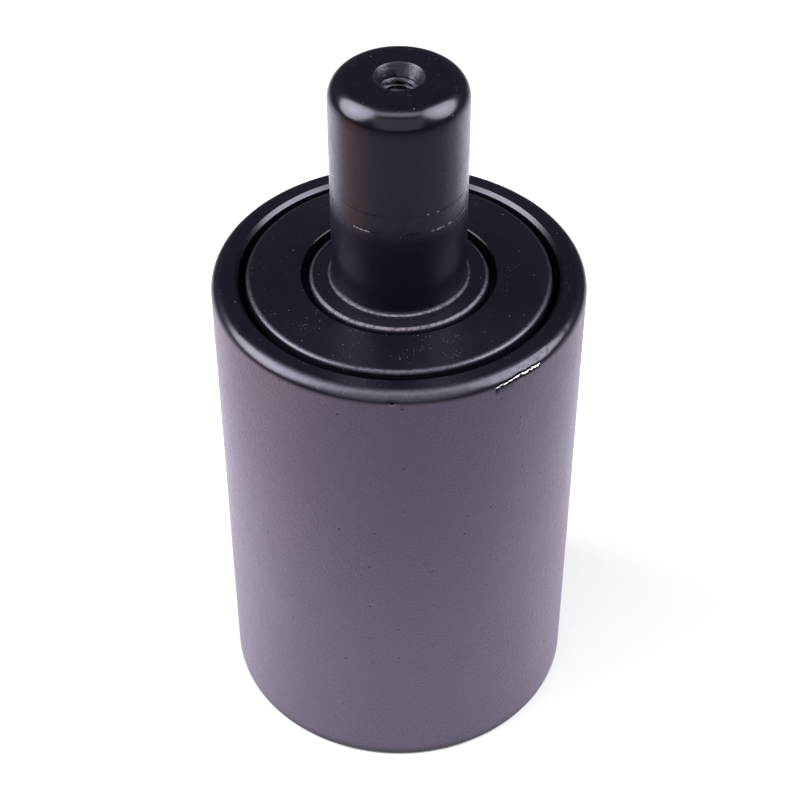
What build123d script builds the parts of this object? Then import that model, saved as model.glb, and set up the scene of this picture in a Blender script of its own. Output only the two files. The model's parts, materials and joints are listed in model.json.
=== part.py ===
from build123d import *

# A sealed carrier roller for a small tracked undercarriage. The steel roller turns on two ball
# bearings round a stub axle. A floating face seal closes the axle's side, and a cap closes the
# other. Z is the spin axis, z = 0 is the rim of the closed end, and sizes are in millimetres.

import os
from math import cos, radians, tan

# ---- Driving dimensions: roller and stub -------------------------------------------------

ROLLER_RADIUS = 42.0
ROLLER_LENGTH = 120.0
RIM_ROUND = 2.8
FOOT_ROUND = 1.0

STUB_RADIUS = 15.0
STUB_LENGTH = 51.0
STUB_TIP = ROLLER_LENGTH + STUB_LENGTH
STUB_ROUND = 5.0
STUB_ROOT_ROUND = 1.0

THREAD_DRILL_RADIUS = 3.4
THREAD_DEPTH = 20.0
CENTRE_RADIUS = 5.5
CENTRE_ANGLE = 60.0

# ---- Ball bearings, both the same size ---------------------------------------------------

BEARING_BORE = 15.0
BEARING_OUTSIDE = 31.0
BEARING_WIDTH = 16.0
BEARING_CORNER = 1.0
INNER_RING_SHOULDER = 20.15
OUTER_RING_SHOULDER = 26.05
BALL_RADIUS = 9.525 / 2
BALL_COUNT = 9
BALL_CLEARANCE = 0.03
PITCH_RADIUS = 23.0
RACE_RADIUS = 1.04 * BALL_RADIUS
CAGE_INSIDE = 21.5
CAGE_OUTSIDE = 24.7
CAGE_HEIGHT = 12.0
CAGE_POCKET_RADIUS = BALL_RADIUS + 0.15

# ---- Heights along the axle, from its tail up --------------------------------------------

TAIL_LOW = 18.0
NUT_LOW = 20.0
NUT_HEIGHT = 7.0
WASHER_LOW = NUT_LOW + NUT_HEIGHT
WASHER_THICKNESS = 1.25
CAP_BEARING_LOW = WASHER_LOW + WASHER_THICKNESS
SPACER_LOW = CAP_BEARING_LOW + BEARING_WIDTH
SPACER_LENGTH = 28.25
SEAL_BEARING_LOW = SPACER_LOW + SPACER_LENGTH
AXLE_SHOULDER = SEAL_BEARING_LOW + BEARING_WIDTH
FLANGE_THICKNESS = 5.0
FLANGE_TOP = ROLLER_LENGTH - 0.3
FLANGE_LOW = FLANGE_TOP - FLANGE_THICKNESS

# ---- Axle, nut and tab washer ------------------------------------------------------------

TAIL_RADIUS = 14.85
TAIL_CHAMFER = 1.2
COLLAR_SEAT_RADIUS = 18.0
FLANGE_RADIUS = 20.2
FLANGE_ROUND = 1.0
LAND_RADIUS = 16.9
LAND_TOP = FLANGE_TOP + 0.15
KEYWAY_WIDTH = 5.0
KEYWAY_DEPTH = 2.0

NUT_RADIUS = 22.5
NUT_CHAMFER = 0.8
NUT_SLOTS = 4
NUT_SLOT_WIDTH = 5.0
NUT_SLOT_DEPTH = 2.0

WASHER_RADIUS = 20.4
TAB_COUNT = 13
TAB_WIDTH = 4.0
TAB_TIP_RADIUS = 24.5
TAB_ROOT_RADIUS = WASHER_RADIUS - 1.0
BENT_TAB_LENGTH = NUT_HEIGHT - 1.0
BENT_TAB_PLAY = 0.1
KEY_TAB_WIDTH = KEYWAY_WIDTH - 0.2
KEY_TAB_RADIUS = 13.4

INNER_SPACER_OUTSIDE = 19.0
OUTER_SPACER_INSIDE = 27.2

# ---- Floating seal: two metal rings that meet at SEAL_FACE -------------------------------

SEAL_FACE = 101.0
FACE_FILM = 0.01
SEAL_INSIDE = 22.8
SEAL_FACE_INSIDE = 23.8
SEAL_FLANGE_RADIUS = 28.0
SEAL_FLANGE_THICKNESS = 2.0
SEAL_HEIGHT = 7.0
RAMP_ANGLE = 14.0
SEAL_RAMP_START = 2.4
SEAL_RAMP_RADIUS = 26.6
POCKET_START = 2.0
POCKET_RADIUS = 31.6
POCKET_DEPTH = 8.5
TORIC_SETBACK = 4.7
TORIC_CLEARANCE = 0.02

# ---- Collar that covers the seal ---------------------------------------------------------

COLLAR_TOP = ROLLER_LENGTH - 0.1
COLLAR_BORE_LOW = SEAL_FACE + 3.0
COLLAR_HUB_RADIUS = 21.5
COLLAR_OUTSIDE = 34.25
COLLAR_ROUND = 1.3
COUNTERBORE_RADIUS = FLANGE_RADIUS + 1.65
COUNTERBORE_CHAMFER = 0.2

# ---- Bore of the roller, and what closes it ----------------------------------------------

LABYRINTH_RADIUS = COLLAR_OUTSIDE + 1.75
MOUTH_CHAMFER = 0.8
LIP_RADIUS = 26.0

CLIP_PLAY = 0.1
CLIP_GAP = 5.2
CLIP_EYE_SHIFT = 0.9
CLIP_EAR_RADIUS = 2.9
CLIP_EAR_INSET = 4.3
CLIP_EAR_ANGLE = 12.0
CLIP_HOLE_RADIUS = 1.25
BEARING_CLIP_GROOVE = 32.5
BEARING_CLIP_EYE = 27.6
BEARING_CLIP_THICKNESS = 2.0
CAP_CLIP_GROOVE = 34.0
CAP_CLIP_EYE = 28.9
CAP_CLIP_THICKNESS = 2.5

CAP_LOW = 7.6
CAP_THICKNESS = 8.0
CAP_HIGH = CAP_LOW + CAP_THICKNESS
CAP_RADIUS = 32.5
CAP_CHAMFER = 0.8
CAP_DISH_OUTSIDE = 26.0
CAP_DISH_INSIDE = 13.0
CAP_DISH_DEPTH = 1.2

PLUG_RADIUS = 6.0
PLUG_HEAD_RADIUS = 8.5
PLUG_HEAD_HEIGHT = 3.0
PLUG_HEAD_CHAMFER = 0.6
PLUG_WASHER_RADIUS = 8.0
PLUG_WASHER_THICKNESS = 1.5
PLUG_HEAD_HIGH = CAP_LOW - PLUG_WASHER_THICKNESS
PLUG_HEAD_LOW = PLUG_HEAD_HIGH - PLUG_HEAD_HEIGHT
PLUG_HEX_ACROSS_FLATS = 6.0
PLUG_HEX_DEPTH = 6.0

# ---- O-rings, squeezed to fill their grooves ---------------------------------------------

COLLAR_RING_LOW = 106.5
COLLAR_RING_HIGH = 109.2
COLLAR_RING_DEPTH = 1.9
CAP_RING_LOW = 10.4
CAP_RING_HIGH = 13.3
CAP_RING_DEPTH = 2.3
O_RING_ROUND = 0.9


# ---- Helpers -----------------------------------------------------------------------------

SAME_PLACE = 0.01


def rims(piece, radius, height):
    """The round edges of a turned piece that lie at this radius and height."""
    circles = piece.edges().filter_by(GeomType.CIRCLE)
    level = circles.filter_by(lambda edge: abs(edge.arc_center.Z - height) < SAME_PLACE)
    return level.filter_by(lambda edge: abs(edge.radius - radius) < SAME_PLACE)


def ramp(radius, start, setback):
    """A seal ramp's radius at this setback from the face, from its radius at its start."""
    return radius - (setback - start) * tan(radians(RAMP_ANGLE))


def squeezed_o_ring(groove_radius, outside, low, high):
    """An O-ring that fills its groove, from the groove's floor to the wall it seals against."""
    with BuildPart() as ring:
        with BuildSketch(Plane.XZ):
            with Locations(((groove_radius + outside) / 2, (low + high) / 2)):
                RectangleRounded(outside - groove_radius, high - low, O_RING_ROUND)
        revolve(axis=Axis.Z)
    return ring


def spacer_tube(inside, outside):
    """A plain tube between the two bearings."""
    with BuildPart() as tube:
        with BuildSketch(Plane.XY.offset(SPACER_LOW)):
            Circle(outside)
            Circle(inside, mode=Mode.SUBTRACT)
        extrude(amount=SPACER_LENGTH)
    return tube


def seal_ring(side):
    """A metal seal ring that lies on one side of the seal's face: 1 is above it, -1 below."""
    face = SEAL_FACE + side * FACE_FILM
    back = SEAL_FACE + side * SEAL_HEIGHT
    relief = SEAL_FACE + side * (SEAL_FACE_INSIDE - SEAL_INSIDE)
    with BuildPart() as ring:
        with BuildSketch(Plane.XZ):
            with BuildLine():
                Polyline(
                    (SEAL_FACE_INSIDE, face),
                    (SEAL_FLANGE_RADIUS, face),
                    (SEAL_FLANGE_RADIUS, SEAL_FACE + side * SEAL_FLANGE_THICKNESS),
                    (SEAL_RAMP_RADIUS, SEAL_FACE + side * SEAL_RAMP_START),
                    (ramp(SEAL_RAMP_RADIUS, SEAL_RAMP_START, SEAL_HEIGHT), back),
                    (SEAL_INSIDE, back),
                    (SEAL_INSIDE, relief),
                    close=True,
                )
            make_face()
        revolve(axis=Axis.Z)
    return ring


def seal_toric(side):
    """A rubber ring that is wedged between a seal ring's ramp and the ramp of its pocket."""
    inside = ramp(SEAL_RAMP_RADIUS, SEAL_RAMP_START, TORIC_SETBACK)
    outside = ramp(POCKET_RADIUS, POCKET_START, TORIC_SETBACK)
    half_gap = (outside - inside) / 2 * cos(radians(RAMP_ANGLE))
    with BuildPart() as toric:
        with BuildSketch(Plane.XZ):
            with Locations(((inside + outside) / 2, SEAL_FACE + side * TORIC_SETBACK)):
                Circle(half_gap - TORIC_CLEARANCE)
        revolve(axis=Axis.Z)
    return toric


def bearing_inner_ring(low):
    """A bearing's inner ring, with a grooved race round its outside."""
    race_centre = PITCH_RADIUS - BALL_RADIUS - BALL_CLEARANCE + RACE_RADIUS
    with BuildPart() as ring:
        with Locations((0, 0, low + BEARING_WIDTH / 2)):
            Cylinder(INNER_RING_SHOULDER, BEARING_WIDTH)
            Cylinder(BEARING_BORE, BEARING_WIDTH, mode=Mode.SUBTRACT)
            Torus(race_centre, RACE_RADIUS, mode=Mode.SUBTRACT)
        chamfer(rims(ring, BEARING_BORE, low), length=BEARING_CORNER)
        chamfer(rims(ring, BEARING_BORE, low + BEARING_WIDTH), length=BEARING_CORNER)
    return ring


def bearing_outer_ring(low):
    """A bearing's outer ring, with a grooved race round its inside."""
    race_centre = PITCH_RADIUS + BALL_RADIUS + BALL_CLEARANCE - RACE_RADIUS
    with BuildPart() as ring:
        with Locations((0, 0, low + BEARING_WIDTH / 2)):
            Cylinder(BEARING_OUTSIDE, BEARING_WIDTH)
            Cylinder(OUTER_RING_SHOULDER, BEARING_WIDTH, mode=Mode.SUBTRACT)
            Torus(race_centre, RACE_RADIUS, mode=Mode.SUBTRACT)
        chamfer(rims(ring, BEARING_OUTSIDE, low), length=BEARING_CORNER)
        chamfer(rims(ring, BEARING_OUTSIDE, low + BEARING_WIDTH), length=BEARING_CORNER)
    return ring


def bearing_balls(low):
    """A bearing's balls, as separate solids."""
    with BuildPart() as balls:
        with Locations((0, 0, low + BEARING_WIDTH / 2)):
            with PolarLocations(PITCH_RADIUS, BALL_COUNT):
                Sphere(BALL_RADIUS)
    return balls


def bearing_cage(low):
    """A bearing's cage: a ring with one round pocket for each ball."""
    with BuildPart() as cage:
        with Locations((0, 0, low + BEARING_WIDTH / 2)):
            Cylinder(CAGE_OUTSIDE, CAGE_HEIGHT)
            Cylinder(CAGE_INSIDE, CAGE_HEIGHT, mode=Mode.SUBTRACT)
            with PolarLocations(PITCH_RADIUS, BALL_COUNT):
                Cylinder(
                    CAGE_POCKET_RADIUS, PITCH_RADIUS / 2, rotation=(0, 90, 0), mode=Mode.SUBTRACT
                )
    return cage


def circlip(groove_radius, eye_radius, low, thickness):
    """An internal circlip in its groove: an open ring, whose ends have ears with pliers holes."""
    with BuildPart() as clip:
        with BuildSketch(Plane.XY.offset(low)):
            Circle(groove_radius - CLIP_PLAY)
            with Locations((CLIP_EYE_SHIFT, 0)):
                Circle(eye_radius, mode=Mode.SUBTRACT)
            with Locations((groove_radius, 0)):
                Rectangle(groove_radius, CLIP_GAP, mode=Mode.SUBTRACT)
            ears = PolarLocations(
                groove_radius - CLIP_EAR_INSET,
                2,
                start_angle=-CLIP_EAR_ANGLE,
                angular_range=2 * CLIP_EAR_ANGLE,
                endpoint=True,
            )
            with ears:
                Circle(CLIP_EAR_RADIUS)
            with ears:
                Circle(CLIP_HOLE_RADIUS, mode=Mode.SUBTRACT)
        extrude(amount=thickness)
    return clip


os.makedirs("parts", exist_ok=True)

# ---- Axle: threaded tail, journal, collar seat, flange and mounting stub -----------------

collar_groove_radius = COLLAR_SEAT_RADIUS - COLLAR_RING_DEPTH

with BuildPart() as shaft:
    with BuildSketch(Plane.XZ):
        with BuildLine():
            Polyline(
                (0, TAIL_LOW),
                (TAIL_RADIUS, TAIL_LOW),
                (TAIL_RADIUS, CAP_BEARING_LOW),
                (BEARING_BORE, CAP_BEARING_LOW),
                (BEARING_BORE, AXLE_SHOULDER),
                (COLLAR_SEAT_RADIUS, AXLE_SHOULDER),
                (COLLAR_SEAT_RADIUS, COLLAR_RING_LOW),
                (collar_groove_radius, COLLAR_RING_LOW),
                (collar_groove_radius, COLLAR_RING_HIGH),
                (COLLAR_SEAT_RADIUS, COLLAR_RING_HIGH),
                (COLLAR_SEAT_RADIUS, FLANGE_LOW),
                (FLANGE_RADIUS, FLANGE_LOW),
                (FLANGE_RADIUS, FLANGE_TOP),
                (LAND_RADIUS, FLANGE_TOP),
                (LAND_RADIUS, LAND_TOP),
                (STUB_RADIUS, LAND_TOP),
                (STUB_RADIUS, STUB_TIP),
                (0, STUB_TIP),
                close=True,
            )
        make_face()
    revolve(axis=Axis.Z)
    chamfer(rims(shaft, TAIL_RADIUS, TAIL_LOW), length=TAIL_CHAMFER)
    fillet(rims(shaft, FLANGE_RADIUS, FLANGE_TOP), radius=FLANGE_ROUND)
    fillet(rims(shaft, STUB_RADIUS, LAND_TOP), radius=STUB_ROOT_ROUND)
    fillet(rims(shaft, STUB_RADIUS, STUB_TIP), radius=STUB_ROUND)
    # The tip has a lathe centre, drilled on for a retaining bolt.
    with Locations((0, 0, STUB_TIP)):
        CounterSinkHole(
            THREAD_DRILL_RADIUS, CENTRE_RADIUS, depth=THREAD_DEPTH, counter_sink_angle=CENTRE_ANGLE
        )
    # A keyway along the tail takes the tab washer's inner tab.
    with BuildSketch(Plane.XY.offset(TAIL_LOW)):
        with Locations((TAIL_RADIUS, 0)):
            Rectangle(2 * KEYWAY_DEPTH, KEYWAY_WIDTH)
    extrude(amount=CAP_BEARING_LOW - TAIL_LOW, mode=Mode.SUBTRACT)
shaft.part.label = "shaft"
export_step(shaft.part, "parts/shaft.step")

collar_o_ring = squeezed_o_ring(
    collar_groove_radius, COLLAR_SEAT_RADIUS, COLLAR_RING_LOW, COLLAR_RING_HIGH
)
collar_o_ring.part.label = "collar_o_ring"
export_step(collar_o_ring.part, "parts/collar_o_ring.step")

# ---- Seal collar: pressed on the axle, with the flange sunk in its top -------------------

pocket_ceiling = SEAL_FACE + POCKET_DEPTH

with BuildPart() as seal_collar:
    with BuildSketch(Plane.XZ):
        with BuildLine():
            Polyline(
                (COLLAR_SEAT_RADIUS, COLLAR_BORE_LOW),
                (COLLAR_SEAT_RADIUS, FLANGE_LOW),
                (COUNTERBORE_RADIUS, FLANGE_LOW),
                (COUNTERBORE_RADIUS, COLLAR_TOP),
                (COLLAR_OUTSIDE, COLLAR_TOP),
                (COLLAR_OUTSIDE, SEAL_FACE + POCKET_START),
                (POCKET_RADIUS, SEAL_FACE + POCKET_START),
                (ramp(POCKET_RADIUS, POCKET_START, POCKET_DEPTH), pocket_ceiling),
                (COLLAR_HUB_RADIUS, pocket_ceiling),
                (COLLAR_HUB_RADIUS, COLLAR_BORE_LOW),
                close=True,
            )
        make_face()
    revolve(axis=Axis.Z)
    fillet(rims(seal_collar, COLLAR_OUTSIDE, COLLAR_TOP), radius=COLLAR_ROUND)
    chamfer(rims(seal_collar, COUNTERBORE_RADIUS, COLLAR_TOP), length=COUNTERBORE_CHAMFER)
seal_collar.part.label = "seal_collar"
export_step(seal_collar.part, "parts/seal_collar.step")

# ---- Floating seal: the collar carries the fixed half, the roller the turning half -------

for half, side in (("fixed", 1), ("turning", -1)):
    metal_ring = seal_ring(side)
    metal_ring.part.label = f"{half}_seal_ring"
    export_step(metal_ring.part, f"parts/{half}_seal_ring.step")
    rubber_ring = seal_toric(side)
    rubber_ring.part.label = f"{half}_seal_toric"
    export_step(rubber_ring.part, f"parts/{half}_seal_toric.step")

# ---- Bearings: one next to the seal, one next to the cap ---------------------------------

for place, low in (("seal", SEAL_BEARING_LOW), ("cap", CAP_BEARING_LOW)):
    inner_ring = bearing_inner_ring(low)
    inner_ring.part.label = f"{place}_bearing_inner_ring"
    export_step(inner_ring.part, f"parts/{place}_bearing_inner_ring.step")
    outer_ring = bearing_outer_ring(low)
    outer_ring.part.label = f"{place}_bearing_outer_ring"
    export_step(outer_ring.part, f"parts/{place}_bearing_outer_ring.step")
    balls = bearing_balls(low)
    balls.part.label = f"{place}_bearing_balls"
    export_step(balls.part, f"parts/{place}_bearing_balls.step")
    cage = bearing_cage(low)
    cage.part.label = f"{place}_bearing_cage"
    export_step(cage.part, f"parts/{place}_bearing_cage.step")

inner_spacer = spacer_tube(BEARING_BORE, INNER_SPACER_OUTSIDE)
inner_spacer.part.label = "inner_spacer"
export_step(inner_spacer.part, "parts/inner_spacer.step")

outer_spacer = spacer_tube(OUTER_SPACER_INSIDE, BEARING_OUTSIDE)
outer_spacer.part.label = "outer_spacer"
export_step(outer_spacer.part, "parts/outer_spacer.step")

# ---- Lock nut: clamps the inner rings against the axle's shoulder ------------------------

with BuildPart() as lock_nut:
    with BuildSketch(Plane.XY.offset(NUT_LOW)):
        Circle(NUT_RADIUS)
        with PolarLocations(NUT_RADIUS, NUT_SLOTS):
            Rectangle(2 * NUT_SLOT_DEPTH, NUT_SLOT_WIDTH, mode=Mode.SUBTRACT)
        Circle(TAIL_RADIUS, mode=Mode.SUBTRACT)
    extrude(amount=NUT_HEIGHT)
    chamfer(rims(lock_nut, TAIL_RADIUS, NUT_LOW), length=NUT_CHAMFER)
lock_nut.part.label = "lock_nut"
export_step(lock_nut.part, "parts/lock_nut.step")

# ---- Tab washer: keyed to the axle, with one tab bent down into a slot of the nut --------

bent_tab_radius = NUT_RADIUS - NUT_SLOT_DEPTH + BENT_TAB_PLAY + WASHER_THICKNESS / 2
bent_tab_low = WASHER_LOW + WASHER_THICKNESS - BENT_TAB_LENGTH

with BuildPart() as tab_washer:
    with BuildSketch(Plane.XY.offset(WASHER_LOW)):
        Circle(WASHER_RADIUS)
        with PolarLocations(
            (TAB_ROOT_RADIUS + TAB_TIP_RADIUS) / 2,
            TAB_COUNT - 1,
            start_angle=360 / TAB_COUNT,
            angular_range=360 - 2 * 360 / TAB_COUNT,
            endpoint=True,
        ):
            Rectangle(TAB_TIP_RADIUS - TAB_ROOT_RADIUS, TAB_WIDTH)
        with Locations(((TAB_ROOT_RADIUS + bent_tab_radius) / 2, 0)):
            Rectangle(bent_tab_radius - TAB_ROOT_RADIUS, TAB_WIDTH)
        Circle(BEARING_BORE, mode=Mode.SUBTRACT)
        with Locations(((KEY_TAB_RADIUS + TAB_ROOT_RADIUS) / 2, 0)):
            Rectangle(TAB_ROOT_RADIUS - KEY_TAB_RADIUS, KEY_TAB_WIDTH)
    extrude(amount=WASHER_THICKNESS)
    with BuildSketch(Plane.XY.offset(bent_tab_low)):
        with Locations((bent_tab_radius, 0)):
            Rectangle(WASHER_THICKNESS, TAB_WIDTH)
    extrude(amount=BENT_TAB_LENGTH)
tab_washer.part.label = "tab_washer"
export_step(tab_washer.part, "parts/tab_washer.step")

# ---- Roller shell: a plain tread outside, and a stepped bore for what it holds -----------

pocket_high = SEAL_FACE - POCKET_START
pocket_low = SEAL_FACE - POCKET_DEPTH
bearing_clip_groove_low = CAP_BEARING_LOW - BEARING_CLIP_THICKNESS - CLIP_PLAY
cap_clip_groove_low = CAP_LOW - CAP_CLIP_THICKNESS - CLIP_PLAY

with BuildPart() as roller_shell:
    with BuildSketch(Plane.XZ):
        with BuildLine():
            Polyline(
                (ROLLER_RADIUS, 0),
                (ROLLER_RADIUS, ROLLER_LENGTH),
                (LABYRINTH_RADIUS, ROLLER_LENGTH),
                (LABYRINTH_RADIUS, pocket_high),
                (POCKET_RADIUS, pocket_high),
                (ramp(POCKET_RADIUS, POCKET_START, POCKET_DEPTH), pocket_low),
                (LIP_RADIUS, pocket_low),
                (LIP_RADIUS, AXLE_SHOULDER),
                (BEARING_OUTSIDE, AXLE_SHOULDER),
                (BEARING_OUTSIDE, CAP_BEARING_LOW),
                (BEARING_CLIP_GROOVE, CAP_BEARING_LOW),
                (BEARING_CLIP_GROOVE, bearing_clip_groove_low),
                (BEARING_OUTSIDE, bearing_clip_groove_low),
                (BEARING_OUTSIDE, CAP_HIGH),
                (CAP_RADIUS, CAP_HIGH),
                (CAP_RADIUS, CAP_LOW),
                (CAP_CLIP_GROOVE, CAP_LOW),
                (CAP_CLIP_GROOVE, cap_clip_groove_low),
                (CAP_RADIUS, cap_clip_groove_low),
                (CAP_RADIUS, 0),
                close=True,
            )
        make_face()
    revolve(axis=Axis.Z)
    fillet(rims(roller_shell, ROLLER_RADIUS, ROLLER_LENGTH), radius=RIM_ROUND)
    fillet(rims(roller_shell, ROLLER_RADIUS, 0), radius=FOOT_ROUND)
    chamfer(rims(roller_shell, LABYRINTH_RADIUS, ROLLER_LENGTH), length=MOUTH_CHAMFER)
    chamfer(rims(roller_shell, CAP_RADIUS, 0), length=MOUTH_CHAMFER)
roller_shell.part.label = "roller_shell"
export_step(roller_shell.part, "parts/roller_shell.step")

bearing_circlip = circlip(
    BEARING_CLIP_GROOVE,
    BEARING_CLIP_EYE,
    CAP_BEARING_LOW - BEARING_CLIP_THICKNESS,
    BEARING_CLIP_THICKNESS,
)
bearing_circlip.part.label = "bearing_circlip"
export_step(bearing_circlip.part, "parts/bearing_circlip.step")

# ---- End cap: closes the bore, with an O-ring round it and an oil plug in its middle -----

cap_groove_radius = CAP_RADIUS - CAP_RING_DEPTH

with BuildPart() as end_cap:
    with BuildSketch(Plane.XZ):
        with BuildLine():
            Polyline(
                (0, CAP_LOW),
                (CAP_DISH_INSIDE, CAP_LOW),
                (CAP_DISH_INSIDE + CAP_DISH_DEPTH, CAP_LOW + CAP_DISH_DEPTH),
                (CAP_DISH_OUTSIDE - CAP_DISH_DEPTH, CAP_LOW + CAP_DISH_DEPTH),
                (CAP_DISH_OUTSIDE, CAP_LOW),
                (CAP_RADIUS, CAP_LOW),
                (CAP_RADIUS, CAP_RING_LOW),
                (cap_groove_radius, CAP_RING_LOW),
                (cap_groove_radius, CAP_RING_HIGH),
                (CAP_RADIUS, CAP_RING_HIGH),
                (CAP_RADIUS, CAP_HIGH),
                (0, CAP_HIGH),
                close=True,
            )
        make_face()
    revolve(axis=Axis.Z)
    chamfer(rims(end_cap, CAP_RADIUS, CAP_HIGH), length=CAP_CHAMFER)
    with Locations((0, 0, CAP_HIGH)):
        Hole(PLUG_RADIUS)
end_cap.part.label = "end_cap"
export_step(end_cap.part, "parts/end_cap.step")

cap_o_ring = squeezed_o_ring(cap_groove_radius, CAP_RADIUS, CAP_RING_LOW, CAP_RING_HIGH)
cap_o_ring.part.label = "cap_o_ring"
export_step(cap_o_ring.part, "parts/cap_o_ring.step")

cap_circlip = circlip(
    CAP_CLIP_GROOVE, CAP_CLIP_EYE, CAP_LOW - CAP_CLIP_THICKNESS, CAP_CLIP_THICKNESS
)
cap_circlip.part.label = "cap_circlip"
export_step(cap_circlip.part, "parts/cap_circlip.step")

# ---- Oil plug and its washer: screwed up into the cap from below -------------------------

with BuildPart() as fill_plug:
    with BuildSketch(Plane.XY.offset(PLUG_HEAD_LOW)):
        Circle(PLUG_HEAD_RADIUS)
    extrude(amount=PLUG_HEAD_HEIGHT)
    chamfer(fill_plug.edges().group_by(Axis.Z)[0], length=PLUG_HEAD_CHAMFER)
    with BuildSketch(Plane.XY.offset(PLUG_HEAD_HIGH)):
        Circle(PLUG_RADIUS)
    extrude(amount=CAP_HIGH - PLUG_HEAD_HIGH)
    with BuildSketch(Plane.XY.offset(PLUG_HEAD_LOW)):
        RegularPolygon(PLUG_HEX_ACROSS_FLATS / 2, 6, major_radius=False)
    extrude(amount=PLUG_HEX_DEPTH, mode=Mode.SUBTRACT)
fill_plug.part.label = "fill_plug"
export_step(fill_plug.part, "parts/fill_plug.step")

with BuildPart() as plug_washer:
    with BuildSketch(Plane.XY.offset(PLUG_HEAD_HIGH)):
        Circle(PLUG_WASHER_RADIUS)
        Circle(PLUG_RADIUS, mode=Mode.SUBTRACT)
    extrude(amount=PLUG_WASHER_THICKNESS)
plug_washer.part.label = "plug_washer"
export_step(plug_washer.part, "parts/plug_washer.step")
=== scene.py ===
"""Looks of a sealed carrier roller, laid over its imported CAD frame.

Outlines and patterns are in millimetres, and meshes are in metres. Azimuth runs round the
spin axis from -Y towards +X, in degrees. A turned piece is a list of corners, each a radius
and a height, which is traced to rows of points and swept round the axis.
"""

import json
import math
from dataclasses import dataclass

import bpy
import numpy as np
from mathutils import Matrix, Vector


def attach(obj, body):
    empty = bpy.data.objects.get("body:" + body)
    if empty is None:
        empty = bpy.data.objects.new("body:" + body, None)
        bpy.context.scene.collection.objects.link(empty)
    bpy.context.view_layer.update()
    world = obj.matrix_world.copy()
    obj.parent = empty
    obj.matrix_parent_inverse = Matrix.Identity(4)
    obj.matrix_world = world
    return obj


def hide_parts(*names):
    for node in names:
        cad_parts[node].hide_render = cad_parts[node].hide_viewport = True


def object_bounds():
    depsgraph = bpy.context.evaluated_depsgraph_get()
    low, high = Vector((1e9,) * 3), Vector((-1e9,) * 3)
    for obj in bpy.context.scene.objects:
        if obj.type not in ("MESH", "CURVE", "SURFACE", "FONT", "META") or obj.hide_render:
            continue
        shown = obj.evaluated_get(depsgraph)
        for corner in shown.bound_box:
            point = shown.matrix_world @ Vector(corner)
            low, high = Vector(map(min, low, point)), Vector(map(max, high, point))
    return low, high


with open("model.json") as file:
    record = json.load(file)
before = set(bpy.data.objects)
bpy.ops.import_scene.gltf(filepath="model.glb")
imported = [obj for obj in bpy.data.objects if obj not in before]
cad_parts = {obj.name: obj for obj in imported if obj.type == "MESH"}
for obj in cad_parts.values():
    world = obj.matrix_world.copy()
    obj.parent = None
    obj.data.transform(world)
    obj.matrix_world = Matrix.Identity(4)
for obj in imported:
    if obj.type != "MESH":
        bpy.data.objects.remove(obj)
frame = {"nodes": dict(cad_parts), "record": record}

CAD_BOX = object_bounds()
MM = 0.001

# ---- Places taken from the frame ---------------------------------------------------------


@dataclass
class Extent:
    """Inner and outer radius and lowest and highest point of a CAD node, in millimetres."""

    inside: float
    outside: float
    low: float
    high: float


def extent(node):
    """How much room a CAD node takes round the spin axis."""
    vertices = frame["nodes"][node].data.vertices
    places = np.array([vertex.co for vertex in vertices]) / MM
    reach = np.hypot(places[:, 0], places[:, 1])
    heights = places[:, 2]
    return Extent(reach.min(), reach.max(), heights.min(), heights.max())


SHELL = extent("roller_shell")
COLLAR = extent("seal_collar")
AXLE = extent("shaft")
CAP = extent("end_cap")
CAP_CLIP = extent("cap_circlip")
BEARING_CLIP = extent("bearing_circlip")
SEAL_BEARING = extent("seal_bearing_outer_ring")
BEARING_RING = extent("cap_bearing_inner_ring")
COLLAR_RING = extent("collar_o_ring")
SEAL_TORIC = extent("turning_seal_toric")

RIM_ROUND = 2.8
FOOT_ROUND = 1.0
STUB_RADIUS = BEARING_RING.inside
STUB_ROUND = 5.0
FLANGE_RADIUS = 20.2
FLANGE_LOW = COLLAR_RING.high + 5.5
FLANGE_TOP = COLLAR.high - 0.2
COLLAR_SEAT = COLLAR_RING.outside

# The shell and the collar share the face seal's pocket, which narrows away from the seal's face.
POCKET_START = 2.0
POCKET_DEPTH = 8.5
POCKET_NARROW_RADIUS = 29.98
SEAL_FACE = COLLAR.low - POCKET_START

SAME_PLACE = 0.01
SHORTEST = 1e-9
WELD_REACH = 1e-7
CREASE = 35.0
RIPPLE_RADIUS = 45.0

# ---- Turned outlines ---------------------------------------------------------------------


@dataclass
class Corner:
    """A corner of a turned outline. The run that leaves it has rows at most step apart."""

    r: float
    z: float
    rounding: float = 0.0
    bevel: float = 0.0
    step: float = 0.0


def toward(start, end):
    """The unit vector from one outline point to another."""
    gap = end - start
    return gap / np.hypot(*gap)


def arc(here, before, after, rounding, steps):
    """Points of the round that breaks the corner at here."""
    half = math.acos(np.clip(before @ after, -1, 1)) / 2
    middle = toward(np.zeros(2), before + after)
    centre = here + middle * rounding / math.sin(half)
    start = here + before * rounding / math.tan(half) - centre
    end = here + after * rounding / math.tan(half) - centre
    first = math.atan2(start[1], start[0])
    sweep = (math.atan2(end[1], end[0]) - first + math.pi) % math.tau - math.pi
    angles = first + sweep * np.linspace(0, 1, steps + 1)
    return list(centre + rounding * np.stack([np.cos(angles), np.sin(angles)], 1))


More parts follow.
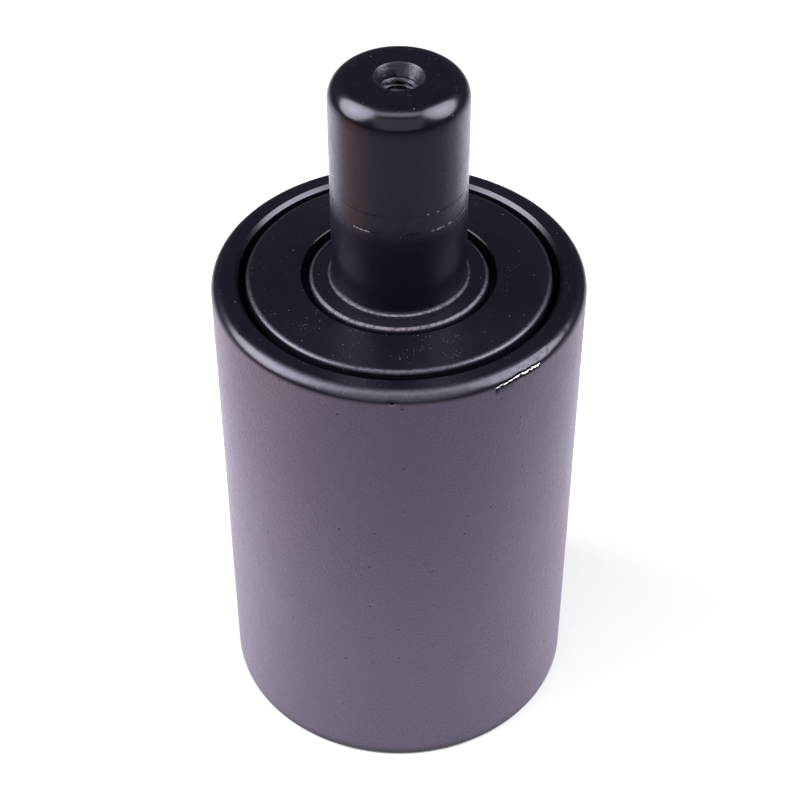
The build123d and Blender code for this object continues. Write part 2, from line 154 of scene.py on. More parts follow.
def trace(corners, closed, arc_steps):
    """Rows of an outline: its corners with rounds as arcs, bevels as cuts, and long runs split."""
    rows = []
    for index, corner in enumerate(corners):
        here = np.array((corner.r, corner.z))
        last = corners[index - 1]
        following = corners[(index + 1) % len(corners)]
        before = toward(here, np.array((last.r, last.z)))
        after = toward(here, np.array((following.r, following.z)))
        if corner.rounding:
            stretch = arc(here, before, after, corner.rounding, arc_steps)
        elif corner.bevel:
            stretch = [here + before * corner.bevel, here + after * corner.bevel]
        else:
            stretch = [here]
        if index and corners[index - 1].step:
            stretch = split(rows[-1], stretch[0], corners[index - 1].step) + stretch
        rows += stretch
    if closed and corners[-1].step:
        rows += split(rows[-1], rows[0], corners[-1].step)
    return np.array(rows)


def split(start, end, step):
    """Points between two rows, no more than step apart."""
    count = math.ceil(np.hypot(*(end - start)) / step)
    return [start + (end - start) * k / count for k in range(1, count)]


def outward(rows, closed):
    """The unit normal of each row, on the right of the outline's direction."""
    if closed:
        padded = np.vstack([rows[-1:], rows, rows[:1]])
    else:
        padded = np.pad(rows, ((1, 1), (0, 0)), "edge")
    along = padded[2:] - padded[:-2]
    along /= np.maximum(np.hypot(along[:, :1], along[:, 1:]), SHORTEST)
    return np.stack([along[:, 1], -along[:, 0]], 1)


def raised(rows, closed, rise):
    """The (radius, height) of each row at each azimuth, moved out along its normal by rise."""
    return rows[:, None] + outward(rows, closed)[:, None] * rise[:, :, None]


def sweep(name, body, slot, node, grid, angles, closed):
    """Builds a turned piece from grid, its (radius, height) at each row and azimuth."""
    row_count, angle_count = grid.shape[:2]
    turn = np.radians(angles)
    x = grid[:, :, 0] * np.sin(turn)
    y = -grid[:, :, 0] * np.cos(turn)
    places = np.stack([x, y, grid[:, :, 1]], 2).reshape(-1, 3) * MM
    lower = np.arange(row_count if closed else row_count - 1)[:, None] * angle_count
    upper = (lower + angle_count) % (row_count * angle_count)
    here = np.arange(angle_count)
    following = (here + 1) % angle_count
    corners = [lower + here, lower + following, upper + following, upper + here]
    faces = np.stack(corners, 2).reshape(-1, 4)
    mesh = bpy.data.meshes.new(name)
    mesh.from_pydata(places.tolist(), [], faces.tolist())
    piece = bpy.data.objects.new(name, mesh)
    bpy.context.scene.collection.objects.link(piece)
    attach(piece, body)
    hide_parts(node)
    return piece


def mark(piece, name, shares):
    """Stores a share from 0 to 1 at each vertex, for the piece's material to read."""
    attribute = piece.data.attributes.new(name, "FLOAT", "POINT")
    attribute.data.foreach_set("value", shares.astype(np.float32).ravel())


def all_round(shares, angles):
    """The share of each row, repeated at every azimuth."""
    return np.tile(shares[:, None], len(angles))


def close_up(piece):
    """Merges the points that meet on the axis, and smooths all but the sharp corners."""
    weld = piece.modifiers.new("weld", "WELD")
    weld.merge_threshold = WELD_REACH
    depsgraph = bpy.context.evaluated_depsgraph_get()
    welded = bpy.data.meshes.new_from_object(piece.evaluated_get(depsgraph))
    piece.modifiers.clear()
    piece.data = welded
    welded.shade_smooth()
    welded.set_sharp_from_angle(angle=math.radians(CREASE))


def around(angles, centre):
    """Signed azimuth from centre to each angle, in degrees."""
    return (angles - centre + 180) % 360 - 180


def ease(values, low, high):
    """A smooth step that rises from 0 at low to 1 at high."""
    share = np.clip((values - low) / (high - low), 0, 1)
    return share * share * (3 - 2 * share)


def band(values, rise, fall):
    """A smooth band, which goes from 0 to 1 over rise and back to 0 over fall."""
    return ease(values, *rise) * ease(-values, -fall[1], -fall[0])


def jitter(angles, every, low, high, rng):
    """Random numbers from low to high, drawn every so many degrees and joined by straight lines."""
    stops = np.arange(0, 360, every)
    return np.interp(angles, stops, rng.uniform(low, high, len(stops)))


def ripple(angles, heights, rng, waves, most_lobes):
    """Smooth, seamless unevenness from -1 to 1 over azimuth and height."""
    total = np.zeros(np.broadcast(angles, heights).shape)
    for _ in range(waves):
        lobes = rng.integers(1, most_lobes)
        pace = rng.uniform(-1, 1) * most_lobes / RIPPLE_RADIUS
        phase = rng.uniform(0, math.tau)
        total += np.cos(np.radians(angles) * lobes + heights * pace + phase)
    return total / waves


# ---- Roller shell ------------------------------------------------------------------------

SHELL_AZIMUTH_STEP = 0.8
TREAD_ROW_STEP = 2.0
MOUTH_RADIUS = COLLAR.outside + 1.75
MOUTH_BEVEL = 0.8
LIP_RADIUS = 26.0
GROOVE_PLAY = 0.1
FORGED_DEPTH = 0.03
FINE_AZIMUTH_STEP = 0.2

# The gouge winds over the rim's round from azimuth to azimuth, each with its tilt from the flat
# face. Its section is a furrow with a raised lip, as shares of its depth at distances below it.
KNOCK_FROM, KNOCK_TO = 25.0, 56.0
KNOCK_AZIMUTHS = (29.0, 32.5, 37.0, 41.0, 45.6)
KNOCK_TILTS = (73.0, 69.0, 60.0, 63.0, 64.0)
KNOCK_DEPTH = 0.22
KNOCK_BELOW = (-0.3, -0.04, 0.16, 0.48, 0.62, 1.0)
KNOCK_SECTION = (0, -1, -1, 0.3, 0.3, 0)
KNOCK_TORN = 0.3
JAG_STEP = 0.6
JAG_SIZE = 0.07

FLAT_FROM, FLAT_TO = 22.0, 50.6
FLAT_RUN_IN = 6.0
FLAT_TILT = 40.0
FLAT_HALF = 17.0
SCUFF_DEPTH = 0.05

DING_COUNT = 16

PIT_AZIMUTH = -2.0
PIT_TRAVEL = 3.6
PIT_WIDE, PIT_TALL = 0.75, 0.55
PIT_DEPTH = 0.4
PIT_HALF = 1.5


def shell_corners():
    """Outline of the shell, from the foot up the tread and down through the stepped bore."""
    pocket = SEAL_TORIC.outside
    return [
        Corner(SHELL.outside, SHELL.low, rounding=FOOT_ROUND, step=TREAD_ROW_STEP),
        Corner(SHELL.outside, SHELL.high, rounding=RIM_ROUND, step=1.0),
        Corner(MOUTH_RADIUS, SHELL.high, bevel=MOUTH_BEVEL, step=4.0),
        Corner(MOUTH_RADIUS, SEAL_FACE - POCKET_START),
        Corner(pocket, SEAL_FACE - POCKET_START),
        Corner(POCKET_NARROW_RADIUS, SEAL_FACE - POCKET_DEPTH),
        Corner(LIP_RADIUS, SEAL_FACE - POCKET_DEPTH),
        Corner(LIP_RADIUS, SEAL_BEARING.high),
        Corner(SEAL_BEARING.outside, SEAL_BEARING.high, step=6.0),
        Corner(SEAL_BEARING.outside, BEARING_CLIP.high),
        Corner(BEARING_CLIP.outside, BEARING_CLIP.high),
        Corner(BEARING_CLIP.outside, BEARING_CLIP.low - GROOVE_PLAY),
        Corner(SEAL_BEARING.outside, BEARING_CLIP.low - GROOVE_PLAY),
        Corner(SEAL_BEARING.outside, CAP.high),
        Corner(CAP.outside, CAP.high),
        Corner(CAP.outside, CAP_CLIP.high),
        Corner(CAP_CLIP.outside, CAP_CLIP.high),
        Corner(CAP_CLIP.outside, CAP_CLIP.low - GROOVE_PLAY),
        Corner(CAP.outside, CAP_CLIP.low - GROOVE_PLAY),
        Corner(CAP.outside, SHELL.low, bevel=MOUTH_BEVEL, step=1.5),
    ]


def shell_azimuths():
    """Azimuths of the shell's mesh, closer together at the rim's knock and at its pit."""
    coarse = np.arange(0, 360, SHELL_AZIMUTH_STEP)
    coarse = coarse[(coarse < KNOCK_FROM) | (coarse > KNOCK_TO)]
    coarse = coarse[np.abs(around(coarse, PIT_AZIMUTH)) > PIT_HALF]
    knocked = np.arange(KNOCK_FROM, KNOCK_TO, FINE_AZIMUTH_STEP)
    pitted = PIT_AZIMUTH % 360 + np.arange(-PIT_HALF, PIT_HALF, FINE_AZIMUTH_STEP)
    return np.sort(np.concatenate([coarse, knocked, pitted]))


def rim_travel(rows):
    """Distance along the outline from the top of the rim's round: below 0 on the flat face."""
    centre = np.array((SHELL.outside - RIM_ROUND, SHELL.high - RIM_ROUND))
    out, up = (rows - centre).T
    on_round = RIM_ROUND * np.arctan2(np.maximum(out, 0), np.maximum(up, 0))
    travel = on_round + np.minimum(out, 0) - np.minimum(up, 0)
    return np.where(rows[:, 0] < MOUTH_RADIUS, -RIM_ROUND, travel)


def knock(angles, travel, rng):
    """Height of the gouge in the rim, and the shares of bare metal and of painted shade in its
    hollows.
    """
    path = np.radians(np.interp(angles, KNOCK_AZIMUTHS, KNOCK_TILTS)) * RIM_ROUND
    stops = np.arange(0, 360, JAG_STEP)
    jagged = np.interp(angles, stops, rng.normal(0, JAG_SIZE, len(stops)))
    below = travel[:, None] - (path + jagged)
    start, end = KNOCK_AZIMUTHS[0], KNOCK_AZIMUTHS[-1]
    along = band(angles, (start - 0.8, start + 1.0), (end - 0.4, end + 0.6))
    along = along * jitter(angles, 0.8, 0.65, 1.0, rng)
    ragged = jitter(angles, 0.7, 0.1, 0.34, rng)
    section = np.interp(below, KNOCK_BELOW, KNOCK_SECTION)
    torn = along > KNOCK_TORN
    bare = band(below, (0.17, 0.24), (ragged + 0.16, ragged + 0.24)) * torn
    # Painted shade: above the bare line under the gouge's lip, and in a band below it.
    crevice_shade = band(below, (-0.38, -0.3), (0.16, 0.23)) * torn
    crevice_shade += band(below, (ragged + 0.15, ragged + 0.23), (0.7, 1.5)) * torn
    return KNOCK_DEPTH * section * along, bare, crevice_shade


def hammered_flat(angles, travel):
    """Height, below 0, of the flat that the same blow left on the upper half of the rim's round."""
    tilt = np.degrees(travel / RIM_ROUND)
    tilt_off = np.abs(tilt - FLAT_TILT)
    chord = RIM_ROUND * math.cos(math.radians(FLAT_HALF))
    depth = RIM_ROUND - chord / np.cos(np.radians(np.minimum(tilt_off, FLAT_HALF)))
    along = ease(angles, FLAT_FROM, FLAT_FROM + FLAT_RUN_IN) * (angles < FLAT_TO)
    return -depth[:, None] * along


def dings(angles, travel, rng):
    """Height, below 0, of the small dents that handling left round the rim."""
    total = np.zeros((len(travel), len(angles)))
    for _ in range(DING_COUNT):
        centre = rng.uniform(0, 360)
        place = rng.uniform(0.2, 1.2) * RIM_ROUND
        wide, tall = rng.uniform(0.5, 1.8), rng.uniform(0.3, 0.9)
        depth = rng.uniform(0.02, 0.08)
        across = around(angles, centre) * math.radians(1) * SHELL.outside / wide
        down = (travel[:, None] - place) / tall
        total -= depth * np.exp(-(across**2) - down**2)
    return total


def casting_pit(angles, travel):
    """Height, below 0, of the one pit low on the rim's round, and its share of painted shadow."""
    across = around(angles, PIT_AZIMUTH) * math.radians(1) * SHELL.outside / PIT_WIDE
    down = (travel[:, None] - PIT_TRAVEL) / PIT_TALL
    share = np.exp(-(across**2) - down**2)
    return -PIT_DEPTH * share, ease(share, 0.35, 0.8)


def build_shell():
    """The steel roller with its plain tread, its stepped bore, and the knocks on its rim."""
    rng = np.random.default_rng(7)
    rows = trace(shell_corners(), closed=True, arc_steps=30)
    angles = shell_azimuths()
    travel = rim_travel(rows)
    tilt = np.degrees(travel / RIM_ROUND)
    outermost = rows[:, 0] > SHELL.outside - RIM_ROUND
    on_tread = ease(tilt, 68, 90) * outermost * (rows[:, 1] > FOOT_ROUND)
    gouge, bare, crevice_shade = knock(angles, travel, rng)
    flat = hammered_flat(angles, travel) * (rows[:, 1] > SHELL.high - RIM_ROUND)[:, None]
    pit, pit_shadow = casting_pit(angles, travel)
    depth = gouge + flat + pit + dings(angles, travel, rng)
    forged = ripple(angles, rows[:, 1:], rng, waves=24, most_lobes=26)
    depth += FORGED_DEPTH * forged * on_tread[:, None]
    grid = raised(rows, True, depth)
    piece = sweep(
        "roller_shell_turned", "roller", "shell_paint", "roller_shell", grid, angles, closed=True
    )
    mark(piece, "bare", bare)
    mark(piece, "crevice_shade", np.maximum(crevice_shade, pit_shadow))
    mark(piece, "scuffed", ease(-flat, 0.0, SCUFF_DEPTH))
    # The upper band of the rim's round, for its rougher paint and its painted highlight at the
    # front.
    mark(piece, "sheen_and_rub", all_round(band(tilt, (0, 25), (38, 72)), angles))
    mark(piece, "tread", all_round(on_tread, angles))
    close_up(piece)
    piece.data.materials.append(shell_paint())


# ---- Seal collar -------------------------------------------------------------------------

COLLAR_AZIMUTHS = 480
COLLAR_ROUND = 0.95
COLLAR_BORE_LOW = SEAL_FACE + 3.0
COLLAR_HUB_RADIUS = 21.5
COLLAR_POCKET_RADIUS = 31.6
COUNTERBORE_RADIUS = FLANGE_RADIUS + 1.65
COUNTERBORE_BEVEL = 0.2
FACING_DEPTH = 0.012


def build_collar():
    """The fixed collar that covers the face seal, with its counterbore for the axle's flange."""
    rng = np.random.default_rng(11)
    corners = [
        Corner(COLLAR_SEAT, COLLAR_BORE_LOW),
        Corner(COLLAR_HUB_RADIUS, COLLAR_BORE_LOW),
        Corner(COLLAR_HUB_RADIUS, SEAL_FACE + POCKET_DEPTH),
        Corner(POCKET_NARROW_RADIUS, SEAL_FACE + POCKET_DEPTH),
        Corner(COLLAR_POCKET_RADIUS, COLLAR.low),
        Corner(COLLAR.outside, COLLAR.low, step=2.0),
        Corner(COLLAR.outside, COLLAR.high, rounding=COLLAR_ROUND, step=1.0),
        Corner(COUNTERBORE_RADIUS, COLLAR.high, bevel=COUNTERBORE_BEVEL, step=1.0),
        Corner(COUNTERBORE_RADIUS, FLANGE_LOW),
        Corner(COLLAR_SEAT, FLANGE_LOW),
    ]
    rows = trace(corners, closed=True, arc_steps=14)
    angles = np.arange(COLLAR_AZIMUTHS) * 360 / COLLAR_AZIMUTHS
    on_top = ease(rows[:, 1], COLLAR.high - 0.4, COLLAR.high)
    uneven = ripple(angles, rows[:, :1] * 4, rng, waves=20, most_lobes=14)
    grid = raised(rows, True, FACING_DEPTH * uneven * on_top[:, None])
    piece = sweep(
        "seal_collar_turned", "axle", "collar_paint", "seal_collar", grid, angles, closed=True
    )
    close_up(piece)
    piece.data.materials.append(collar_paint())


# ---- Axle with its stub ------------------------------------------------------------------

AXLE_AZIMUTHS = 240
FLANGE_ROUND = 1.2
ROOT_ROUND = 1.0
LAND_RADIUS = 16.9
LAND_TOP = FLANGE_TOP + 0.15
COLLAR_RING_DEPTH = 1.9
PAINT_FROM, PAINT_TO = COLLAR.high - 6, COLLAR.high - 5.4

CENTRE_RADIUS = 5.5
CENTRE_ROUND = 0.6
CENTRE_SLOPE = math.tan(math.radians(30))
BOLT_MINOR = 3.4
BOLT_MAJOR = 4.0
BOLT_PITCH = 1.25
BOLT_DEPTH = 20.0
THREAD_ROW_STEP = 0.125
THREAD_FLAT = 0.2

TAIL_RADIUS = 14.85
TAIL_CHAMFER = 1.2
TAIL_ROW_STEP = 0.12
NUT_PITCH = 1.5
NUT_THREAD_DEPTH = 0.55
NUT_THREAD_RUN_OUT = 1.5
KEYWAY_AZIMUTH = 90.0
KEYWAY_HALF = 2.5
KEYWAY_FLOOR = 13.0

# A clamp scored two rings round the stub. Each has bare stretches: their centre and half-width,
# in degrees.
WEAR_HEIGHTS = (FLANGE_TOP + 21.5, FLANGE_TOP + 26.1)
WEAR_STRETCHES = (((-35, 11), (36, 13)), ((31, 9),))
WEAR_REACH = 0.4
WEAR_ROW_STEP = 0.07
WEAR_WANDER = 0.05
WEAR_DEPTH = 0.05
WEAR_WIDTH = 0.18
BARE_WIDTH = 0.09
BARE_ABOVE = 0.48


def axle_corners():
    """Outline of the axle, from the middle of its tail up to the stub and down the bolt hole."""
    hole_low = AXLE.high - BOLT_DEPTH
    cone_low = AXLE.high - (CENTRE_RADIUS - BOLT_MINOR) / CENTRE_SLOPE
    cone_threads = AXLE.high - (CENTRE_RADIUS - BOLT_MAJOR) / CENTRE_SLOPE
    corners = [
        Corner(0, AXLE.low, step=3.0),
        Corner(TAIL_RADIUS, AXLE.low, bevel=TAIL_CHAMFER, step=TAIL_ROW_STEP),
        Corner(TAIL_RADIUS, BEARING_RING.low - SAME_PLACE),
        Corner(TAIL_RADIUS, BEARING_RING.low),
        Corner(STUB_RADIUS, BEARING_RING.low, step=4.0),
        Corner(STUB_RADIUS, SEAL_BEARING.high),
        Corner(COLLAR_SEAT, SEAL_BEARING.high, step=4.0),
        Corner(COLLAR_SEAT, COLLAR_RING.low),
        Corner(COLLAR_SEAT - COLLAR_RING_DEPTH, COLLAR_RING.low),
        Corner(COLLAR_SEAT - COLLAR_RING_DEPTH, COLLAR_RING.high),
        Corner(COLLAR_SEAT, COLLAR_RING.high),
        Corner(COLLAR_SEAT, FLANGE_LOW),
        Corner(FLANGE_RADIUS, FLANGE_LOW),
        Corner(FLANGE_RADIUS, FLANGE_TOP, rounding=FLANGE_ROUND),
        Corner(LAND_RADIUS, FLANGE_TOP),
        Corner(LAND_RADIUS, LAND_TOP),
        Corner(STUB_RADIUS, LAND_TOP, rounding=ROOT_ROUND, step=1.5),
    ]
    for height in WEAR_HEIGHTS:
        corners.append(Corner(STUB_RADIUS, height - WEAR_REACH, step=WEAR_ROW_STEP))
        corners.append(Corner(STUB_RADIUS, height + WEAR_REACH, step=1.5))
    corners += [
        Corner(STUB_RADIUS, AXLE.high, rounding=STUB_ROUND, step=1.0),
        Corner(CENTRE_RADIUS, AXLE.high, rounding=CENTRE_ROUND),
        Corner(BOLT_MAJOR, cone_threads, step=THREAD_ROW_STEP),
        Corner(BOLT_MINOR, cone_low, step=THREAD_ROW_STEP),
        Corner(BOLT_MINOR, hole_low),
        Corner(0, hole_low),
    ]
    return corners


def helix(angles, heights, pitch):
    """Share of a right-hand thread's depth, 0 on its crest and 1 at its root."""
    turn = heights / pitch - angles / 360
    from_crest = np.abs(turn % 1 - 0.5) * 2
    return np.clip((from_crest - THREAD_FLAT) / (1 - 2 * THREAD_FLAT), 0, 1)


def cut_bolt_thread(grid, angles, rows):
    """Opens the bolt hole out to its thread, which runs out into the centre's cone."""
    wall = (rows[:, 0] < BOLT_MAJOR + SAME_PLACE) & (rows[:, 0] > BOLT_MINOR - SAME_PLACE)
    heights = rows[wall, 1:]
    root = BOLT_MINOR + (BOLT_MAJOR - BOLT_MINOR) * helix(angles, heights, BOLT_PITCH)
    grid[wall, :, 0] = np.maximum(grid[wall, :, 0], root)


def cut_nut_thread(grid, angles, rows):
    """Cuts the locknut's thread into the tail."""
    threaded = rows[:, 1] < BEARING_RING.low - NUT_THREAD_RUN_OUT
    tail = (rows[:, 0] == TAIL_RADIUS) & threaded
    grid[tail, :, 0] -= NUT_THREAD_DEPTH * helix(angles, rows[tail, 1:], NUT_PITCH)


def cut_keyway(grid, angles, rows):
    """Cuts the flat-bottomed keyway for the washer's inner tab, along the tail at +X."""
    tail = np.flatnonzero(rows[:, 1] < BEARING_RING.low - SAME_PLACE / 2)
    side = around(angles, KEYWAY_AZIMUTH)
    step = 360 / AXLE_AZIMUTHS
    floor_span = math.floor(math.degrees(math.asin(KEYWAY_HALF / TAIL_RADIUS)) / step) * step
    for row in tail:
        reach = grid[row, :, 0]
        across = KEYWAY_HALF * side / floor_span
        on_floor = (np.abs(side) <= floor_span + SAME_PLACE) & (reach > KEYWAY_FLOOR)
        reach[on_floor] = np.hypot(KEYWAY_FLOOR, across[on_floor])


def wear_depth(angles, rows, rng):
    """Height, below 0, of the scored rings, and the shares of bare metal and of dark groove."""
    depth = np.zeros((len(rows), len(angles)))
    bare = np.zeros_like(depth)
    groove = np.zeros_like(depth)
    on_stub = np.abs(rows[:, 0] - STUB_RADIUS) < SAME_PLACE
    for height, stretches in zip(WEAR_HEIGHTS, WEAR_STRETCHES):
        wander = WEAR_WANDER * ripple(angles, np.zeros(1), rng, waves=8, most_lobes=9)
        off = rows[:, 1:] - height - wander
        strength = jitter(angles, 10, -0.4, 1, rng).clip(0.1)
        scored = strength * np.exp(-((off / WEAR_WIDTH) ** 2)) * on_stub[:, None]
        depth -= WEAR_DEPTH * scored
        groove += scored
        broken = jitter(angles, 1.25, 0, 1, rng) > BARE_ABOVE
        for centre, half in stretches:
            span = ease(-np.abs(around(angles, centre)), -half, -half + 3)
            bare += span * broken * np.exp(-((off / BARE_WIDTH) ** 2)) * on_stub[:, None]
    return depth, np.clip(bare, 0, 1), np.clip(groove, 0, 1)


def build_axle():
    """The axle: bearing seats, flange and the stub with its threaded bolt hole."""
    rng = np.random.default_rng(3)
    rows = trace(axle_corners(), closed=False, arc_steps=24)
    angles = np.arange(AXLE_AZIMUTHS) * 360 / AXLE_AZIMUTHS
    depth, bare, groove = wear_depth(angles, rows, rng)
    grid = raised(rows, False, depth)
    cut_bolt_thread(grid, angles, rows)
    cut_nut_thread(grid, angles, rows)
    cut_keyway(grid, angles, rows)
    piece = sweep("stub_axle_turned", "axle", "stub_paint", "shaft", grid, angles, closed=False)
    mark(piece, "bare", bare)
    mark(piece, "groove", groove)
    mark(piece, "painted", all_round(ease(rows[:, 1], PAINT_FROM, PAINT_TO), angles))
    close_up(piece)
    piece.data.materials.append(stub_paint())


# ---- Materials ---------------------------------------------------------------------------


class Finish:
    """A procedural material, laid out in millimetres on the piece at rest.

    A pattern is laid out by place, or by lathe for what turning left (radius, height and
    azimuth), or by unrolled for a flat layout of the skin (distance round, and height).
    """

    def __init__(self, name):
        self.material = bpy.data.materials.new(name)
        self.material.use_nodes = True
        self.tree = self.material.node_tree
        self.shader = self.tree.nodes["Principled BSDF"]
        self.normal = None
        coordinates = self.tree.nodes.new("ShaderNodeTexCoord")
        self.place = self.vector("MULTIPLY", coordinates.outputs["Object"], (1 / MM,) * 3)
        x, self.back, self.height = self.parts(self.place)
        squares = [self.math("POWER", side, 2) for side in (x, self.back)]
        self.radius = self.math("SQRT", self.math("ADD", *squares))
        self.azimuth = self.math("ARCTAN2", x, self.math("MULTIPLY", self.back, -1))
        self.lathe = self.join(self.radius, self.height, self.math("MULTIPLY", self.azimuth, 2.0))
        distance_round = self.math("MULTIPLY", self.azimuth, self.radius)
        self.unrolled = self.join(distance_round, self.height, 0.0)

    def put(self, socket, value):
        """Links an output to a socket, or sets the socket's value."""
        if isinstance(value, bpy.types.NodeSocket):
            self.tree.links.new(value, socket)
        else:
            socket.default_value = value

    def node(self, kind, settings=None, **inputs):
        """Adds a node; inputs are named as in Blender, with _ for a space."""
        made = self.tree.nodes.new(kind)
        for name, value in (settings or {}).items():
            setattr(made, name, value)
        for name, value in inputs.items():
            self.put(made.inputs[name.replace("_", " ")], value)
        return made

    def math(self, operation, *values):
        """The result of a sum on one or more numbers."""
        made = self.node("ShaderNodeMath", {"operation": operation})
        for socket, value in zip(made.inputs, values):
            self.put(socket, value)
        return made.outputs[0]

    def vector(self, operation, *values):
        """The result of a sum on vectors."""
        made = self.node("ShaderNodeVectorMath", {"operation": operation})
        for socket, value in zip(made.inputs, values):
            self.put(socket, value)
        return made.outputs[0]

    def parts(self, vector):
        """The three numbers of a vector."""
        return self.node("ShaderNodeSeparateXYZ", Vector=vector).outputs[:]

    def join(self, x, y, z):
        """A vector made of three numbers."""
        return self.node("ShaderNodeCombineXYZ", X=x, Y=y, Z=z).outputs[0]

    def noise(self, size, where=None, detail=2.0, rough=0.5, stretch=(1, 1, 1)):
        """Noise from 0 to 1 whose lumps are about size across."""
        where = self.vector("MULTIPLY", where or self.place, stretch)
        inputs = {"Vector": where, "Scale": 1 / size, "Detail": detail, "Roughness": rough}
        return self.node("ShaderNodeTexNoise", **inputs).outputs["Fac"]

    def ramp(self, value, low, high, bottom=0.0, top=1.0):
        """Runs smoothly from bottom, where value is at low, to top, where it is at high."""
        made = self.node(
            "ShaderNodeMapRange", {"interpolation_type": "SMOOTHSTEP"}, Value=value,
            From_Min=low, From_Max=high, To_Min=bottom, To_Max=top,
        )
        return made.outputs["Result"]

    def share(self, name):
        """The share that the mesh stores at each point under this name."""
        return self.node("ShaderNodeAttribute", {"attribute_name": name}).outputs["Fac"]

    def mix(self, share, first, second):
        """A colour between first, at share 0, and second, at share 1."""
        made = self.node("ShaderNodeMix", {"data_type": "RGBA"})
        self.put(made.inputs["Factor"], share)
        for socket, colour in ((made.inputs["A"], first), (made.inputs["B"], second)):
            self.put(socket, colour)
        return made.outputs["Result"]

    def blend(self, share, first, second):
        """A number between first, at share 0, and second, at share 1."""
        made = self.node("ShaderNodeMix", {"data_type": "FLOAT"})
        for name, value in (("Factor", share), ("A", first), ("B", second)):
            self.put(made.inputs[name], value)
        return made.outputs["Result"]

    def specks(self, where, size, spacing, share):
        """Scattered dots: at most one in a cell of this spacing, in this share of the cells."""
        settings = {"voronoi_dimensions": "2D"}
        cell = self.node("ShaderNodeTexVoronoi", settings, Vector=where, Scale=1 / spacing)
        lucky = self.parts(cell.outputs["Color"])[0]
        reach = size / spacing
        dot = self.ramp(cell.outputs["Distance"], reach, reach * 0.6)
        return self.math("MULTIPLY", dot, self.math("LESS_THAN", lucky, share))

    def bump(self, height, depth):
        """Raises the surface by depth where height is 1, over the bumps that are there already."""
        made = self.node("ShaderNodeBump", Height=height, Distance=depth * MM)
        if self.normal is not None:
            self.put(made.inputs["Normal"], self.normal)
        self.normal = made.outputs["Normal"]

    def finish(self, **inputs):
        """Sets the shader's inputs, and returns the material."""
        for name, value in inputs.items():
            self.put(self.shader.inputs[name.replace("_", " ")], value)
        if self.normal is not None:
            self.put(self.shader.inputs["Normal"], self.normal)
        return self.material


def grey(value, tint=(1.0, 1.0, 1.0)):
    """A colour of this lightness and tint."""
    return (value * tint[0], value * tint[1], value * tint[2], 1.0)


VIOLET = (1.1, 0.85, 1.8)
GREY_VIOLET = (1.07, 0.83, 1.26)
SHINE_TINT = (0.86, 0.80, 1.0, 1.0)
BARE_STEEL = (0.5, 0.46, 0.5, 1.0)
DUST = (0.11, 0.1, 0.117, 1.0)
# Worn paint and painted highlight: lighter greys for the rounds of the collar and the flange.
WORN_AND_SHEEN = (0.04, 0.034, 0.045, 1.0)
FLANGE_WORN_AND_SHEEN = (0.11, 0.096, 0.12, 1.0)
# Painted highlight with rubbed paint: the lighter grey of the rim's round at the front.
RIM_SHEEN_AND_RUB = (0.032, 0.027, 0.038, 1.0)


def dusty(finish, colour, share):
    """Adds dust, mostly to faces that look up and more at the front. Also gives its share."""
    facing = finish.parts(finish.node("ShaderNodeNewGeometry").outputs["Normal"])[2]
    up = finish.ramp(facing, 0.7, 0.9)
    near = finish.ramp(finish.back, 10.0, -26.0, 0.15, 1.0)
    patchy = finish.ramp(finish.noise(7.0), 0.45, 0.65)
    often = finish.math("MULTIPLY", finish.math("MULTIPLY", near, patchy), share * 0.6)
    often = finish.math("MULTIPLY", often, 0.3)
    fine = finish.specks(finish.place, size=0.08, spacing=0.45, share=often)
    coarse = finish.specks(finish.place, size=0.13, spacing=3.0, share=share * 0.16)
    settled = finish.math("MULTIPLY", finish.math("MAXIMUM", fine, coarse), up)
    clinging = finish.specks(finish.unrolled, size=0.13, spacing=6.0, share=share * 0.25)
    specks = finish.math("MAXIMUM", settled, clinging)
    return finish.mix(specks, colour, DUST), specks


def worn_edge_and_sheen(finish, radius, half=0.6):
    """Share of a band round a radius that is lightened for worn paint and a painted highlight, more
    so at the front.
    """
    off = finish.math("ABSOLUTE", finish.math("SUBTRACT", finish.radius, radius))
    band = finish.ramp(off, half, half * 0.3)
    # Painted highlight: the band is lighter towards the front, where the round catches the light.
    near = finish.ramp(finish.back, 2.0, -14.0, 0.2, 1.0)
    patchy = finish.ramp(finish.noise(0.8, detail=3.0), 0.3, 0.6, 0.3, 1.0)
    return finish.math("MULTIPLY", finish.math("MULTIPLY", band, near), patchy)


